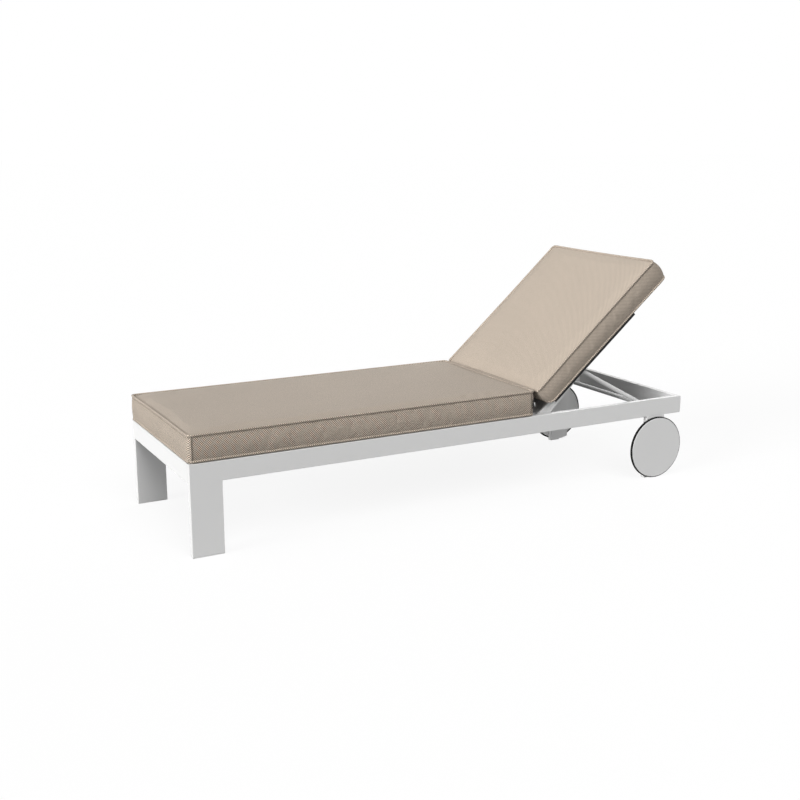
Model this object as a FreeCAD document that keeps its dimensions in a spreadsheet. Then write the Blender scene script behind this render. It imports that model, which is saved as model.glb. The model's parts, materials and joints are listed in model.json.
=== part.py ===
"""Sun lounger with a reclining back, two rear wheels and a folding mattress.

Millimetres. X runs from the foot end to the head end, Y from the lounger's left to its right,
Z up from the floor. The origin is on the floor, under the middle of the frame.
"""
import FreeCAD, Part
import math
import os
import re
import Sketcher

V = FreeCAD.Vector

# Driving sizes
SIZES = (
    ("frame_length", 2000), ("frame_width", 640), ("frame_height", 312),
    ("profile", 20), ("tube_wall", 2), ("rail_height", 66),
    ("leg_width", 108), ("glide", 3), ("plug_depth", 18), ("fit", 0.1),
    ("post_width", 86), ("post_relief", 4), ("axle_setback", 122),
    ("wheel_diameter", 242), ("wheel_gap", 3), ("tyre_width", 10), ("tyre_depth", 6),
    ("cover_thickness", 1.5), ("cover_margin", 3.5), ("edge_round", 1),
    ("axle_diameter", 12), ("axle_head", 20), ("axle_head_depth", 4), ("axle_clip", 0.5),
    ("bush_wall", 2), ("running_gap", 0.05), ("side_gap", 0.3), ("clip_room", 24),
    ("board_thickness", 6), ("board_gap", 0.5), ("seat_board_margin", 45),
    ("bearer_width", 36), ("bearer_height", 20), ("first_bearer", 130), ("last_bearer", 83),
    ("screw_diameter", 5), ("screw_head", 10), ("screw_length", 12), ("screw_inset", 60),
    ("hinge_setback", 646), ("hinge_drop", 25), ("back_angle", 40.3),
    ("arm_gap", 10), ("arm_thickness", 6), ("eye_radius", 25), ("arm_reach", 88),
    ("arm_tail", 190), ("arm_tail_depth", 3), ("arm_heel", 57), ("arm_heel_depth", 10),
    ("hinge_diameter", 10), ("hinge_bite", 12), ("hinge_nut", 17), ("hinge_nut_depth", 6),
    ("spacer_diameter", 22), ("back_start", 90), ("back_end", 553),
    ("side_tube_width", 20), ("side_tube_depth", 18.5), ("end_plug", 2),
    ("cross_width", 22), ("cross_depth", 14), ("lower_cross", 104), ("middle_cross", 212),
    ("upper_cross", 530),
    ("prop_reach", 249.5), ("prop_drop", 19), ("prop_length", 365), ("prop_angle", 28.3),
    ("prop_diameter", 16), ("prop_gap", 1), ("prop_overhang", 9), ("prop_pin", 6),
    ("prop_pin_head", 10), ("prop_pin_head_depth", 3), ("prop_end_gap", 2),
    ("prop_angle_rate", 0.62), ("rack_thickness", 12), ("rack_bottom", 248), ("notch_depth", 1),
    ("notch_angle", 10.5), ("back_highest_angle", 60), ("rest_block_length", 40),
    ("rest_block_place", 295), ("rest_block_height", 18), ("rack_screw_head", 8),
    ("rack_screw_depth", 3), ("rack_screw_inset", 20), ("rack_end_gap", 10),
    ("cushion_thickness", 90), ("cushion_gap", 0.3), ("fold_gap", 49),
    ("back_cushion_length", 682), ("back_cushion_start", 45), ("cushion_slant", 28),
    ("cushion_slope", 108), ("cushion_shoulder", 54), ("cushion_crown", 8),
    ("cushion_draw", 5), ("cushion_edge", 8), ("cushion_ease", 1), ("cushion_bulge", 4),
)

# Notches in the racks, counted in steps from the one that the back rests in
NOTCH_STEPS = (-2, -1, 0, 1)
RACK_POINTS = 24
BEARERS = 4
LEFT = "_left"
RIGHT = "_right"

doc = FreeCAD.newDocument("sun_lounger")
sheet = doc.addObject("Spreadsheet::Sheet", "Sizes")
for row, (alias, value) in enumerate(SIZES, start=1):
    sheet.set(f"A{row}", alias)
    sheet.set(f"B{row}", str(value))
    sheet.setAlias(f"B{row}", alias)
doc.recompute()
ALIASES = {alias for alias, value in SIZES}
pieces = []


# Helpers for expressions, primitives and sketches
def full(text):
    """Put the sheet's name before every size that an expression names."""
    return re.sub(r"[a-z_]+", lambda word: f"Sizes.{word[0]}" if word[0] in ALIASES else word[0], text)


def number(text):
    """The value of an expression, in millimetres or degrees."""
    return float(sheet.evalExpression(full(text)))


def bind(thing, prop, text):
    thing.setExpression(prop, full(text))


def place(thing, point):
    for axis, text in zip("xyz", point):
        bind(thing, f"Placement.Base.{axis}", text)


def box(name, low, lengths):
    thing = doc.addObject("Part::Box", name)
    for prop, text in zip(("Length", "Width", "Height"), lengths):
        bind(thing, prop, text)
    place(thing, low)
    return thing


def rod(name, diameter, start, length):
    """A round bar along Y from a start point."""
    thing = doc.addObject("Part::Cylinder", name)
    bind(thing, "Radius", f"({diameter}) / 2")
    bind(thing, "Height", length)
    thing.Placement.Rotation = FreeCAD.Rotation(V(1, 0, 0), -90)
    place(thing, start)
    return thing


def cut(name, base, tool):
    thing = doc.addObject("Part::Cut", name)
    thing.Base = base
    thing.Tool = tool
    return thing


def fuse(name, *parts):
    thing = doc.addObject("Part::MultiFuse", name)
    thing.Shapes = list(parts)
    return thing


def keep(thing, label):
    """Name a finished sub-part, so that it is checked and written."""
    thing.Label = label
    pieces.append(thing)
    return thing


def mirror(source):
    """The right-hand twin of a left-hand piece."""
    thing = doc.addObject("Part::Mirroring", source.Name + RIGHT)
    thing.Source = source
    thing.Normal = V(0, 1, 0)
    return thing


def both(thing, stem):
    """A left-hand sub-part and its right-hand twin."""
    keep(thing, stem + LEFT)
    keep(mirror(thing), stem + RIGHT)


def pair(thing, label):
    """Two small fasteners, left and right, in one sub-part."""
    group = doc.addObject("Part::Compound", thing.Name + "_pair")
    group.Links = [thing, mirror(thing)]
    keep(group, label)


def sketch_on(body, role, name):
    plane = next(item for item in body.Origin.OriginFeatures if item.Role == role)
    sketch = body.newObject("Sketcher::SketchObject", name)
    sketch.AttachmentSupport = (plane, [""])
    sketch.MapMode = "FlatFace"
    return sketch


def hold(sketch, item, end, point):
    """Tie one point of a sketch to the origin by two dimensions."""
    for kind, text in zip(("DistanceX", "DistanceY"), point):
        index = sketch.addConstraint(Sketcher.Constraint(kind, -1, 1, item, end, number(text)))
        bind(sketch, f"Constraints[{index}]", text)


def outline(sketch, corners):
    """A closed polygon whose corners are pairs of expressions."""
    spots = [V(number(x), number(y), 0) for x, y in corners]
    first = sketch.GeometryCount
    count = len(spots)
    for index in range(count):
        sketch.addGeometry(Part.LineSegment(spots[index], spots[(index + 1) % count]), False)
    for index in range(count):
        after = first + (index + 1) % count
        sketch.addConstraint(Sketcher.Constraint("Coincident", first + index, 2, after, 1))
        hold(sketch, first + index, 1, corners[index])


def ring(sketch, centre, diameter):
    """A circle with its centre and diameter bound."""
    middle = V(number(centre[0]), number(centre[1]), 0)
    item = sketch.addGeometry(Part.Circle(middle, V(0, 0, 1), number(diameter) / 2), False)
    hold(sketch, item, 3, centre)
    index = sketch.addConstraint(Sketcher.Constraint("Diameter", item, number(diameter)))
    bind(sketch, f"Constraints[{index}]", diameter)


def rectangle(low, high):
    return [(low[0], low[1]), (high[0], low[1]), (high[0], high[1]), (low[0], high[1])]


def pad(body, sketch, length, reverse=False):
    feature = body.newObject("PartDesign::Pad", sketch.Name + "_pad")
    feature.Profile = sketch
    bind(feature, "Length", length)
    feature.Reversed = reverse
    doc.recompute()
    return feature


def pocket(body, sketch, reverse):
    """Cut a sketch through the whole body, and make sure that it took something away."""
    before = body.Shape.Volume
    feature = body.newObject("PartDesign::Pocket", sketch.Name + "_cut")
    feature.Profile = sketch
    feature.Type = "ThroughAll"
    feature.Reversed = reverse
    doc.recompute()
    assert body.Shape.Volume < before - 1, sketch.Name
    return feature


def revolve(body, sketch):
    """Turn a half section, drawn with the radius along X and the depth along Y, about Y."""
    feature = body.newObject("PartDesign::Revolution", sketch.Name + "_turn")
    feature.Profile = sketch
    feature.ReferenceAxis = (sketch, ["V_Axis"])
    feature.Angle = 360
    doc.recompute()
    return feature


# Places that several sub-parts share
HALF_LENGTH = "frame_length / 2"
SIDE = "-frame_width / 2"
INNER = f"{SIDE} + profile"
RAIL_BOTTOM = "frame_height - rail_height"
HINGE_X = "frame_length / 2 - hinge_setback"
HINGE_Z = "frame_height - hinge_drop"
AXLE_X = "frame_length / 2 - axle_setback"
AXLE_Z = "wheel_diameter / 2"
ARM_Y = f"{INNER} + arm_gap"
PROP_Y = f"{ARM_Y} + side_tube_width + prop_gap + prop_diameter / 2"
BOARD_UNDER = "hinge_drop - board_thickness"
TUBE_UNDER = f"{BOARD_UNDER} - side_tube_depth"
PROP_RISE = "hinge_drop - prop_drop"
TUBE_BORE = "profile - 2 * tube_wall"


def on_back(thing):
    """Set a sub-part that is drawn flat about the hinge axis to the back's resting angle."""
    thing.Placement = FreeCAD.Placement(V(), FreeCAD.Rotation(V(0, -1, 0), number("back_angle")))
    bind(thing, "Placement.Rotation.Angle", "back_angle")
    place(thing, (HINGE_X, "0", HINGE_Z))
    return thing


def along_back(reach, rise, angle):
    """X and Z of a point on the back at an angle above flat."""
    turn = math.radians(angle)
    x = number(HINGE_X) + reach * math.cos(turn) - rise * math.sin(turn)
    z = number(HINGE_Z) + reach * math.sin(turn) + rise * math.cos(turn)
    return x, z


def prop_foot(angle):
    """X and Z of the prop's cross tube when the back stands at an angle above flat."""
    x, z = along_back(number("prop_reach"), number(PROP_RISE), angle)
    lean = math.radians(number("prop_angle") + number("prop_angle_rate") * (angle - number("back_angle")))
    return x + number("prop_length") * math.cos(lean), z - number("prop_length") * math.sin(lean)


# Frame
def side_rails():
    """Rectangular tubes, mitred at the head end, with a hole for the hinge stud."""
    body = doc.addObject("PartDesign::Body", "side_rail")
    length = "frame_length - leg_width"
    section = sketch_on(body, "YZ_Plane", "rail_section")
    outline(section, rectangle(("0", "0"), ("profile", "rail_height")))
    outline(section, rectangle(("tube_wall", "tube_wall"),
                               ("profile - tube_wall", "rail_height - tube_wall")))
    pad(body, section, length)
    mitre = sketch_on(body, "XY_Plane", "rail_mitre")
    outline(mitre, ((f"{length} + profile", "-profile"), (f"{length} + profile", "2 * profile"),
                    (f"{length} - 2 * profile", "2 * profile")))
    pocket(body, mitre, True)
    hole = rod("rail_stud_hole", "hinge_diameter + fit", (HINGE_X, f"{INNER} - 2 * tube_wall", HINGE_Z),
               "4 * tube_wall")
    place(body, (f"-{HALF_LENGTH} + leg_width", SIDE, RAIL_BOTTOM))
    both(cut("side_rail_drilled", body, hole), "side_rail")


def end_rails():
    """The foot rail between the legs, and the mitred rear rail."""
    foot = box("foot_rail_outer", (f"-{HALF_LENGTH}", INNER, RAIL_BOTTOM),
               ("profile", "frame_width - 2 * profile", "rail_height"))
    bore = box("foot_rail_bore", (f"-{HALF_LENGTH} + tube_wall", INNER, f"{RAIL_BOTTOM} + tube_wall"),
               (TUBE_BORE, "frame_width - 2 * profile", "rail_height - 2 * tube_wall"))
    keep(cut("foot_rail_tube", foot, bore), "foot_rail")
    body = doc.addObject("PartDesign::Body", "rear_rail_body")
    section = sketch_on(body, "XZ_Plane", "rear_section")
    outline(section, rectangle(("0", "0"), ("profile", "rail_height")))
    outline(section, rectangle(("tube_wall", "tube_wall"),
                               ("profile - tube_wall", "rail_height - tube_wall")))
    pad(body, section, "frame_width", True)
    mitre = sketch_on(body, "XY_Plane", "rear_mitre")
    outline(mitre, (("-profile", "-profile"), ("2 * profile", "-profile"), ("-profile", "2 * profile")))
    outline(mitre, (("-profile", "frame_width + profile"), ("2 * profile", "frame_width + profile"),
                    ("-profile", "frame_width - 2 * profile")))
    pocket(body, mitre, True)
    place(body, (f"{HALF_LENGTH} - profile", SIDE, RAIL_BOTTOM))
    keep(body, "rear_rail")


def front_legs():
    """Wide flat tubes, closed on top, each with a glide plugged into its foot."""
    bore_size = ("leg_width - 2 * tube_wall", TUBE_BORE)
    bore_low = (f"-{HALF_LENGTH} + tube_wall", f"{SIDE} + tube_wall")
    outer = box("leg_outer", (f"-{HALF_LENGTH}", SIDE, "glide"),
                ("leg_width", "profile", "frame_height - glide"))
    bore = box("leg_bore", (*bore_low, "0"), (*bore_size, "frame_height - tube_wall"))
    both(cut("leg_tube", outer, bore), "front_leg")
    sole = box("glide_sole", (f"-{HALF_LENGTH}", SIDE, "0"), ("leg_width", "profile", "glide"))
    plug = box("glide_plug", (f"{bore_low[0]} + fit", f"{bore_low[1]} + fit", "0"),
               (f"{bore_size[0]} - 2 * fit", f"{bore_size[1]} - 2 * fit", "plug_depth"))
    both(fuse("glide_whole", sole, plug), "leg_glide")


def rear_posts():
    """Flat bars that carry the axles, cut back behind so that the lounger tips onto its wheels."""
    low_x = f"{AXLE_X} - post_width / 2"
    bar = box("post_bar", (low_x, SIDE, "glide"), ("post_width", "profile", f"{RAIL_BOTTOM} - glide"))
    corner = box("post_corner", (AXLE_X, f"{SIDE} - profile", "-glide"),
                 ("post_width", "3 * profile", f"{AXLE_Z} + glide"))
    swing = rod("post_swing", "wheel_diameter - 2 * post_relief", (AXLE_X, f"{SIDE} - profile", AXLE_Z),
                "3 * profile")
    shaped = cut("post_shaped", bar, cut("post_waste", corner, swing))
    hole = rod("post_hole", "axle_diameter + fit", (AXLE_X, f"{SIDE} - profile", AXLE_Z), "3 * profile")
    both(cut("post_drilled", shaped, hole), "rear_post")
    both(box("post_pad", (low_x, SIDE, "0"), ("post_width / 2", "profile", "glide")), "post_pad")


# Seat deck
def bearer_place(index):
    first = f"-{HALF_LENGTH} + first_bearer"
    span = f"({HINGE_X} - last_bearer) - ({first})"
    return f"{first} + {index} / {BEARERS - 1} * ({span})"


def seat_bearers():
    """Cross tubes between the side rails, under the seat board."""
    top = "frame_height - board_thickness"
    span = "frame_width - 2 * profile"
    for index in range(BEARERS):
        x = bearer_place(index)
        outer = box(f"bearer_outer_{index}", (x, INNER, f"{top} - bearer_height"),
                    ("bearer_width", span, "bearer_height"))
        bore = box(f"bearer_bore_{index}", (f"{x} + tube_wall", INNER, f"{top} - bearer_height + tube_wall"),
                   ("bearer_width - 2 * tube_wall", span, "bearer_height - 2 * tube_wall"))
        tube = cut(f"bearer_tube_{index}", outer, bore)
        holes = [screw_hole(f"bearer_hole_{index}_{side}", x, side, top) for side in (-1, 1)]
        keep(cut(f"bearer_drilled_{index}", tube, fuse(f"bearer_holes_{index}", *holes)),
             f"seat_bearer_{index + 1}")


def screw_y(side):
    return f"{side} * (frame_width / 2 - screw_inset)"


def screw_hole(name, x, side, top):
    thing = doc.addObject("Part::Cylinder", name)
    bind(thing, "Radius", "screw_diameter / 2 + fit")
    bind(thing, "Height", "4 * tube_wall")
    place(thing, (f"{x} + bearer_width / 2", screw_y(side), f"{top} - 2 * tube_wall"))
    return thing


def seat_board():
    """A compact laminate board, flush with the rails, on the bearers."""
    body = doc.addObject("PartDesign::Body", "seat_board_body")
    plan = sketch_on(body, "XY_Plane", "seat_plan")
    outline(plan, rectangle((f"-{HALF_LENGTH} + profile + board_gap", f"{INNER} + board_gap"),
                            (f"{HINGE_X} - seat_board_margin", f"-({INNER} + board_gap)")))
    pad(body, plan, "board_thickness")
    holes = sketch_on(body, "XY_Plane", "seat_screw_holes")
    for index in range(BEARERS):
        for side in (-1, 1):
            centre = (f"{bearer_place(index)} + bearer_width / 2", screw_y(side))
            ring(holes, centre, "screw_head + 2 * fit")
    pocket(body, holes, True)
    place(body, ("0", "0", "frame_height - board_thickness"))
    keep(body, "seat_board")


def screw_shape(head, head_depth):
    """A screw that points down from the origin, under its head."""
    cap = Part.makeCylinder(number(head) / 2, number(head_depth), V(0, 0, 0))
    shank = Part.makeCylinder(number("screw_diameter / 2"), number("screw_length"), V(0, 0, 0), V(0, 0, -1))
    return cap.fuse(shank).removeSplitter()


def seat_screws():
    """Flush screws that hold the board down, two on each bearer."""
    shape = screw_shape("screw_head", "board_thickness")
    solids = []
    for index in range(BEARERS):
        for side in (-1, 1):
            spot = V(number(f"{bearer_place(index)} + bearer_width / 2"), number(screw_y(side)),
                     number("frame_height - board_thickness"))
            solids.append(shape.translated(spot))
    group = doc.addObject("Part::Feature", "seat_screw_group")
    group.Shape = Part.makeCompound(solids)
    keep(group, "seat_board_screws")


# Hinge of the back
def hinges():
    """A stud in each side rail, a spacer, the arm's bush and a nut on the inside."""
    stud_start = f"{INNER} - hinge_bite"
    grip = "arm_gap + arm_thickness + side_gap + hinge_nut_depth"
    stud = rod("stud_bar", "hinge_diameter", (HINGE_X, stud_start, HINGE_Z), f"hinge_bite + {grip}")
    both(stud, "hinge_stud")
    disc = rod("spacer_disc", "spacer_diameter", (HINGE_X, INNER, HINGE_Z), "arm_gap - side_gap")
    hole = rod("spacer_hole", "hinge_diameter + fit", (HINGE_X, INNER, HINGE_Z), "arm_gap")
    both(cut("spacer_ring", disc, hole), "hinge_spacer")
    shell = rod("bush_shell", "hinge_diameter + 2 * bush_wall", ("0", ARM_Y, "0"), "arm_thickness")
    bore = rod("bush_bore", "hinge_diameter + 2 * running_gap", ("0", ARM_Y, "0"), "arm_thickness")
    both(on_back(cut("bush_ring", shell, bore)), "hinge_bush")
    hexagon = doc.addObject("Part::Prism", "nut_hexagon")
    hexagon.Polygon = 6
    bind(hexagon, "Circumradius", "hinge_nut / sqrt(3)")
    bind(hexagon, "Height", "hinge_nut_depth")
    hexagon.Placement.Rotation = FreeCAD.Rotation(V(1, 0, 0), -90)
    nut_y = f"{ARM_Y} + arm_thickness + side_gap"
    place(hexagon, (HINGE_X, nut_y, HINGE_Z))
    thread = rod("nut_thread", "hinge_diameter + fit", (HINGE_X, nut_y, HINGE_Z), "hinge_nut_depth")
    pair(cut("nut_ring", hexagon, thread), "hinge_nuts")


def hinge_arms():
    """Plates with an eye at the hinge, which taper off under the side tubes."""
    body = doc.addObject("PartDesign::Body", "hinge_arm_body")
    eye = sketch_on(body, "XZ_Plane", "arm_eye")
    ring(eye, ("0", "0"), "2 * eye_radius")
    pad(body, eye, "arm_thickness", True)
    blade = sketch_on(body, "XZ_Plane", "arm_blade")
    tail = f"{TUBE_UNDER} - cushion_gap"
    outline(blade, (("0", "hinge_drop"), ("arm_reach", "hinge_drop"), ("arm_reach", tail), ("arm_tail", tail),
                    ("arm_tail", f"{tail} - arm_tail_depth"), ("arm_heel", f"{tail} - arm_heel_depth"),
                    ("0", "-eye_radius")))
    pad(body, blade, "arm_thickness", True)
    hole = sketch_on(body, "XZ_Plane", "arm_hole")
    ring(hole, ("0", "0"), "hinge_diameter + 2 * bush_wall + fit")
    pocket(body, hole, False)
    on_back(body)
    bind(body, "Placement.Base.y", ARM_Y)
    both(body, "hinge_arm")


# Back
def side_tubes():
    """Rectangular tubes up both sides of the back, with a plug in each open end."""
    length = "back_end - back_start"
    outer = box("side_tube_outer", ("back_start", ARM_Y, TUBE_UNDER),
                (length, "side_tube_width", "side_tube_depth"))
    bore = box("side_tube_bore", ("back_start", f"{ARM_Y} + tube_wall", f"{TUBE_UNDER} + tube_wall"),
               (length, "side_tube_width - 2 * tube_wall", "side_tube_depth - 2 * tube_wall"))
    pin = rod("side_tube_pin_hole", "prop_pin + fit", ("prop_reach", f"{ARM_Y} + tube_wall + fit", PROP_RISE),
              "2 * side_tube_width")
    tube = cut("side_tube_drilled", cut("side_tube_whole", outer, bore), pin)
    both(on_back(tube), "back_side_tube")
    plug_low = (f"{ARM_Y} + tube_wall + fit", f"{TUBE_UNDER} + tube_wall + fit")
    plug = box("side_tube_plug", ("back_end - plug_depth", *plug_low),
               ("plug_depth", "side_tube_width - 2 * tube_wall - 2 * fit",
                "side_tube_depth - 2 * tube_wall - 2 * fit"))
    cap = box("side_tube_cap", ("back_end", ARM_Y, TUBE_UNDER),
              ("end_plug", "side_tube_width", "side_tube_depth"))
    both(on_back(fuse("side_tube_end", plug, cap)), "side_tube_plug")


def cross_tubes():
    """Three tubes between the side tubes, under the board."""
    start = f"{ARM_Y} + side_tube_width"
    span = f"-2 * ({start})"
    for level in ("lower", "middle", "upper"):
        low_x = f"{level}_cross - cross_width / 2"
        low_z = f"{BOARD_UNDER} - cross_depth"
        outer = box(f"{level}_cross_outer", (low_x, start, low_z), ("cross_width", span, "cross_depth"))
        bore = box(f"{level}_cross_bore", (f"{low_x} + tube_wall", start, f"{low_z} + tube_wall"),
                   ("cross_width - 2 * tube_wall", span, "cross_depth - 2 * tube_wall"))
        tube = cut(f"{level}_cross_tube", outer, bore)
        holes = []
        for side in (-1, 1):
            hole = doc.addObject("Part::Cylinder", f"{level}_cross_hole")
            bind(hole, "Radius", "screw_diameter / 2 + fit")
            bind(hole, "Height", "4 * tube_wall")
            place(hole, (f"{level}_cross", screw_y(side), f"{BOARD_UNDER} - 2 * tube_wall"))
            holes.append(hole)
        drilled = cut(f"{level}_cross_drilled", tube, fuse(f"{level}_cross_holes", *holes))
        keep(on_back(drilled), f"back_cross_tube_{level}")


def back_board():
    """A compact laminate board over the back's tubes, screwed to the cross tubes."""
    body = doc.addObject("PartDesign::Body", "back_board_body")
    plan = sketch_on(body, "XY_Plane", "back_plan")
    outline(plan, rectangle(("back_start", ARM_Y), ("back_end + end_plug", f"-({ARM_Y})")))
    pad(body, plan, "board_thickness")
    holes = sketch_on(body, "XY_Plane", "back_screw_holes")
    spots = [(f"{level}_cross", screw_y(side)) for level in ("lower", "middle", "upper") for side in (-1, 1)]
    for spot in spots:
        ring(holes, spot, "screw_head + 2 * fit")
    pocket(body, holes, True)
    on_back(body)
    turn = "back_angle * 1 deg"
    bind(body, "Placement.Base.x", f"{HINGE_X} - ({BOARD_UNDER}) * sin({turn})")
    bind(body, "Placement.Base.z", f"{HINGE_Z} + ({BOARD_UNDER}) * cos({turn})")
    keep(body, "back_board")
    shape = screw_shape("screw_head", "board_thickness")
    screws = [shape.translated(V(number(x), number(y), number(BOARD_UNDER))) for x, y in spots]
    group = doc.addObject("Part::Feature", "back_screw_group")
    group.Shape = Part.makeCompound(screws)
    keep(on_back(group), "back_board_screws")


# Prop
def prop():
    """Two bars on a cross tube, hung on pins in the side tubes. The cross tube lies on the racks."""
    foot_x, foot_z = prop_foot(number("back_angle"))
    top_x, top_z = along_back(number("prop_reach"), number(PROP_RISE), number("back_angle"))
    tube_length = "frame_width - 2 * (profile + prop_end_gap)"
    start = (str(foot_x), f"{INNER} + prop_end_gap", str(foot_z))
    outer = rod("prop_tube_outer", "prop_diameter", start, tube_length)
    bore = rod("prop_tube_bore", "prop_diameter - 2 * tube_wall", start, tube_length)
    keep(cut("prop_tube", outer, bore), "prop_cross_tube")
    both(rod("prop_cap_plug", "prop_diameter - 2 * tube_wall - 2 * fit", start, "plug_depth"), "prop_cap")

    bar = doc.addObject("Part::Cylinder", "prop_bar")
    bind(bar, "Radius", "prop_diameter / 2")
    bind(bar, "Height", "prop_length + prop_overhang")
    bar.Placement = FreeCAD.Placement(V(-number("prop_overhang"), 0, 0), FreeCAD.Rotation(V(0, 1, 0), 90))
    cope = rod("prop_cope", "prop_diameter", ("prop_length", "-prop_diameter", "0"), "2 * prop_diameter")
    eye = rod("prop_eye", "prop_pin + 2 * running_gap", ("0", "-prop_diameter", "0"), "2 * prop_diameter")
    arm = cut("prop_bar_coped", bar, fuse("prop_bar_cuts", cope, eye))
    arm.Placement = FreeCAD.Placement(V(top_x, number(PROP_Y), top_z),
                                      FreeCAD.Rotation(V(0, 1, 0), number("prop_angle")))
    both(arm, "prop_arm")

    pin_start = f"{ARM_Y} + tube_wall + 2 * fit"
    pin_length = "side_tube_width - tube_wall - 2 * fit + prop_gap + prop_diameter + side_gap"
    shank = rod("prop_pin_shank", "prop_pin", ("prop_reach", pin_start, PROP_RISE), pin_length)
    head = rod("prop_pin_head", "prop_pin_head", ("prop_reach", f"{pin_start} + {pin_length}", PROP_RISE),
               "prop_pin_head_depth")
    pair(on_back(fuse("prop_pin_whole", shank, head)), "prop_pins")


def rack_line():
    """Points along a rack's top, just under the path of the prop's cross tube."""
    under = number("prop_diameter / 2 + side_gap")
    step = number("back_highest_angle") / RACK_POINTS
    points = []
    for index in range(RACK_POINTS + 1):
        x, z = prop_foot(index * step)
        before = prop_foot((index - 0.5) * step)
        after = prop_foot((index + 0.5) * step)
        run = after[0] - before[0]
        rise = after[1] - before[1]
        scale = under / math.hypot(run, rise)
        points.append((x - rise * scale, z + run * scale))
    return points


def racks():
    """Bars on the side rails under the prop's path, clear of the rear rail, with a notch for each position."""
    rail_side = number(f"{HALF_LENGTH} - profile - rack_end_gap")
    line = [spot for spot in rack_line() if spot[0] < rail_side]
    top = line[line.index(max(line)):]
    low_x = top[-1][0] - number("prop_diameter")
    high_x = top[0][0]
    floor = number("rack_bottom")
    corners = [(low_x, floor), (high_x, floor), *top, (low_x, top[-1][1])]
    body = doc.addObject("PartDesign::Body", "rack_body")
    profile = sketch_on(body, "XZ_Plane", "rack_profile")
    outline(profile, [(str(x), str(z)) for x, z in corners])
    pad(body, profile, "rack_thickness", True)
    bind(body, "Placement.Base.y", INNER)
    notches = []
    for index, step in enumerate(NOTCH_STEPS):
        x, z = prop_foot(number("back_angle") + step * number("notch_angle"))
        notches.append(rod(f"rack_notch_{index}", "prop_diameter",
                           (str(x), INNER, f"{z} - notch_depth"), "rack_thickness"))
    both(cut("rack_notched", body, fuse("rack_notches", *notches)), "rack")
    inset = number("rack_screw_inset")
    screw = Part.makeCylinder(number("rack_screw_head") / 2, number("rack_screw_depth"), V(), V(0, 1, 0))
    face = number("frame_width / 2 - profile - rack_thickness")
    solids = []
    for x in (low_x + inset, (low_x + high_x) / 2, high_x - inset):
        for y in (-face, face - number("rack_screw_depth")):
            solids.append(screw.translated(V(x, y, number("rack_bottom + rack_screw_head"))))
    group = doc.addObject("Part::Feature", "rack_screw_group")
    group.Shape = Part.makeCompound(solids)
    keep(group, "rack_screws")


def rest_blocks():
    """Blocks on the side rails that the back lies on when it is flat."""
    top = f"{HINGE_Z} + {TUBE_UNDER} - side_gap"
    block = box("rest_block", (f"{HINGE_X} + rest_block_place", INNER, f"{top} - rest_block_height"),
                ("rest_block_length", "arm_gap + side_tube_width", "rest_block_height"))
    both(block, "rest_block")


# Wheels
def wheel_part(name, steps):
    """A turned piece on the left axle, from steps of radius and depth out from the post."""
    body = doc.addObject("PartDesign::Body", name)
    section = sketch_on(body, "XY_Plane", name + "_section")
    outline(section, [(radius, f"-({depth})") for radius, depth in steps])
    revolve(body, section)
    place(body, (AXLE_X, SIDE, AXLE_Z))
    return body


def wheels():
    """A white core and cover with a thin black tyre, on a bush that turns on a fixed axle."""
    face = "wheel_gap + tyre_width"
    rim = "wheel_diameter / 2 - tyre_depth"
    journal = "axle_diameter / 2"
    bore = f"{journal} + running_gap"
    sleeve = f"{bore} + bush_wall"
    recess = f"{face} - axle_clip - 2 * side_gap"
    tread = "wheel_diameter / 2"
    both(wheel_part("axle_turned", (
        ("0", "-profile - axle_head_depth"), ("axle_head / 2", "-profile - axle_head_depth"),
        ("axle_head / 2", "-profile"), (journal, "-profile"), (journal, "0"), ("axle_head / 2", "0"),
        ("axle_head / 2", "wheel_gap - side_gap"), (journal, "wheel_gap - side_gap"),
        (journal, f"{recess} + side_gap"), ("axle_head / 2", f"{recess} + side_gap"),
        ("axle_head / 2", f"{face} - side_gap"), ("0", f"{face} - side_gap"))), "wheel_axle")
    both(wheel_part("bush_turned", ((bore, "wheel_gap"), (sleeve, "wheel_gap"), (sleeve, recess),
                                    (bore, recess))), "wheel_bush")
    both(wheel_part("core_turned", (
        (f"{sleeve} + fit", "wheel_gap"), (f"{rim} - fit", "wheel_gap"), (f"{rim} - fit", face),
        ("clip_room / 2", face), ("clip_room / 2", recess), (f"{sleeve} + fit", recess))), "wheel_core")
    both(wheel_part("tyre_turned", (
        (rim, "wheel_gap"), (f"{tread} - edge_round", "wheel_gap"), (tread, "wheel_gap + edge_round"),
        (tread, f"{face} - edge_round"), (f"{tread} - edge_round", face), (rim, face))), "wheel_tyre")
    plate = "wheel_diameter / 2 - cover_margin"
    outside = f"{face} + cover_thickness"
    both(wheel_part("cover_turned", (
        ("0", face), (plate, face), (plate, f"{outside} - edge_round / 2"),
        (f"{plate} - edge_round / 2", outside), ("0", outside))), "wheel_cover")


# Mattress
def cushion_section(x, half_width, edge, crown, bulge, foot):
    """A section across a cushion: flat underneath, bowed sides, a crowned top, its foot set back."""

    def spot(y, z):
        return V(x + foot * (1 - z / edge), y, z)

    low = spot(-half_width + bulge, 0)
    side = spot(-half_width, edge / 2)
    shoulder = spot(-half_width + bulge, edge)
    top = spot(0, edge + crown)
    flip = FreeCAD.Matrix()
    flip.A22 = -1
    edges = [
        Part.LineSegment(flip.multVec(low), low).toShape(),
        Part.Arc(low, side, shoulder).toShape(),
        Part.Arc(shoulder, top, flip.multVec(shoulder)).toShape(),
        Part.Arc(flip.multVec(shoulder), flip.multVec(side), flip.multVec(low)).toShape(),
    ]
    return Part.Wire(edges)


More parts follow.
